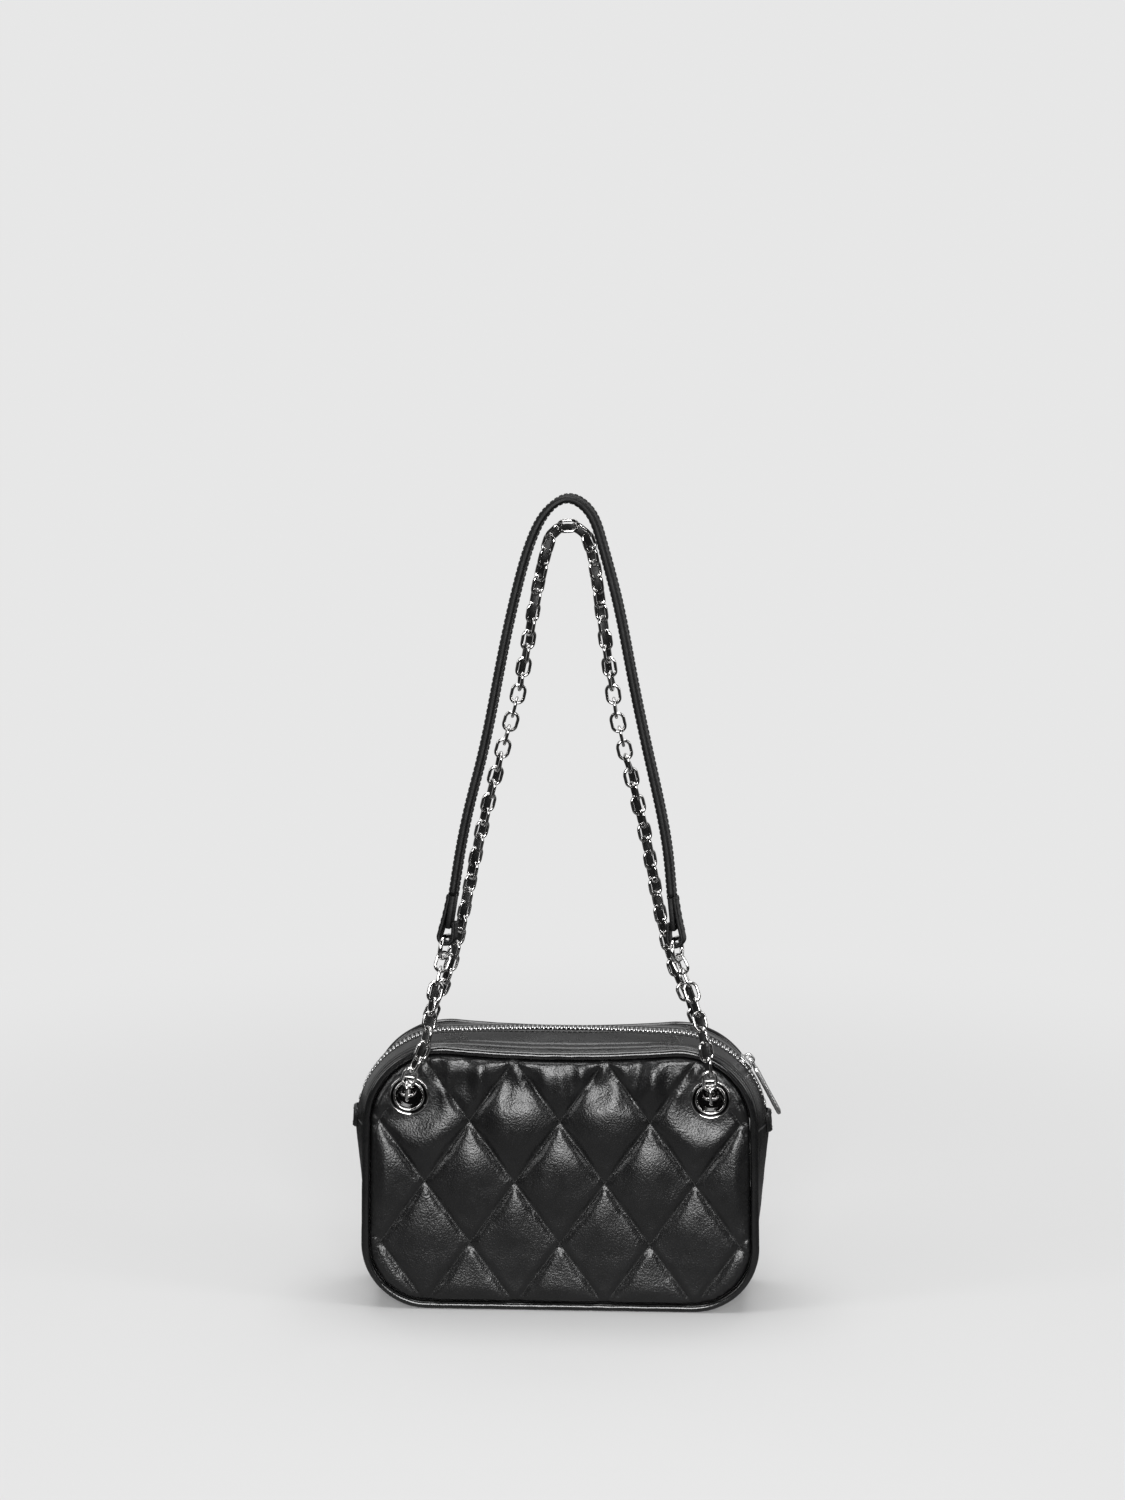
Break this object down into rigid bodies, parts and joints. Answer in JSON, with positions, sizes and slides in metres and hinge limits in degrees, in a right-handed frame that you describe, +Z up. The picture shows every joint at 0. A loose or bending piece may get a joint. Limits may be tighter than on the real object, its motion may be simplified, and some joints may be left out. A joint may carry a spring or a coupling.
{
  "type": "chain shoulder bag",
  "caption": "Small quilted leather shoulder bag with piped edges, a zip top, round eyelets, a chain woven with leather lace and a leather shoulder strap.",
  "frame": {"origin": "middle of the flat base, on the surface that the bag stands on", "axes": "+Z up, -Y out of the quilted front panel, +X to the right in the front view"},
  "size_m": [0.2402, 0.0893, 0.4546],
  "materials": {
    "quilted_leather": "semi-gloss",
    "smooth_leather": "semi-gloss",
    "strap_leather": "satin",
    "lace_leather": "satin",
    "lining_fabric": "matte",
    "zip_tape": "matte",
    "zip_metal": "satin",
    "polished_metal": "polished",
    "stiffener": "matte"
  },
  "bodies": {
    "bag_shell": {"front_panel": "quilted_leather", "rear_panel": "quilted_leather", "front_piping": "smooth_leather", "rear_piping": "smooth_leather", "front_lining": "lining_fabric", "rear_lining": "lining_fabric", "zip_gusset_front": "smooth_leather", "zip_gusset_rear": "smooth_leather", "base_gusset": "smooth_leather", "base_lining": "lining_fabric", "zip_tape_front": "zip_tape", "zip_tape_rear": "zip_tape", "zip_teeth_front": "zip_metal", "zip_teeth_rear": "zip_metal", "zip_stops": "zip_metal", "zip_end_tab_left": "smooth_leather", "zip_end_tab_right": "smooth_leather", "base_board": "stiffener", "slip_pocket": "lining_fabric", "eyelet_front_left": "polished_metal", "eyelet_front_right": "polished_metal", "eyelet_rear_left": "polished_metal", "eyelet_rear_right": "polished_metal", "eyelet_washers": "polished_metal", "inner_chain_left": "polished_metal", "inner_chain_right": "polished_metal", "inner_lace_left": "lace_leather", "inner_lace_right": "lace_leather"},
    "zip_slider": {"zip_slider": "polished_metal", "zip_slider_bail": "polished_metal"},
    "zip_pull": {"zip_pull": "polished_metal"},
    "front_chains": {"front_chain_left": "polished_metal", "front_chain_right": "polished_metal", "front_lace_left": "lace_leather", "front_lace_right": "lace_leather"},
    "strap": {"shoulder_strap": "strap_leather", "strap_loop_left": "strap_leather", "strap_loop_right": "strap_leather", "strap_ring_left": "polished_metal", "strap_ring_right": "polished_metal"},
    "rear_chain": {"rear_chain_left": "polished_metal", "rear_chain_right": "polished_metal", "rear_lace_left": "lace_leather", "rear_lace_right": "lace_leather"},
    "rear_chain_top": {"rear_chain_arch": "polished_metal", "rear_lace_arch": "lace_leather"}
  },
  "joints": [
    {"name": "zip_run", "type": "hinge", "parent": "bag_shell", "child": "zip_slider", "pos_m": [0.06105, 0, 0.09975], "axis": [0, 1, 0], "range_deg": [-43, 4]},
    {"name": "pull_swing", "type": "hinge", "parent": "zip_slider", "child": "zip_pull", "pos_m": [0.10489, 0, 0.13923], "axis": [0, 1, 0], "range_deg": [-110, 0]},
    {"name": "front_chain_fall", "type": "hinge", "parent": "bag_shell", "child": "front_chains", "pos_m": [0, -0.03785, 0.1262], "axis": [1, 0, 0], "range_deg": [0, 70]},
    {"name": "strap_fold", "type": "hinge", "parent": "front_chains", "child": "strap", "pos_m": [0, -0.03234, 0.20327], "axis": [1, 0, 0], "range_deg": [0, 30]},
    {"name": "rear_chain_fall", "type": "hinge", "parent": "bag_shell", "child": "rear_chain", "pos_m": [0, 0.03785, 0.1262], "axis": [1, 0, 0], "range_deg": [-70, 0]},
    {"name": "rear_chain_fold", "type": "hinge", "parent": "rear_chain", "child": "rear_chain_top", "pos_m": [0, 0.01453, 0.33129], "axis": [1, 0, 0], "range_deg": [-60, 0]}
  ]
}
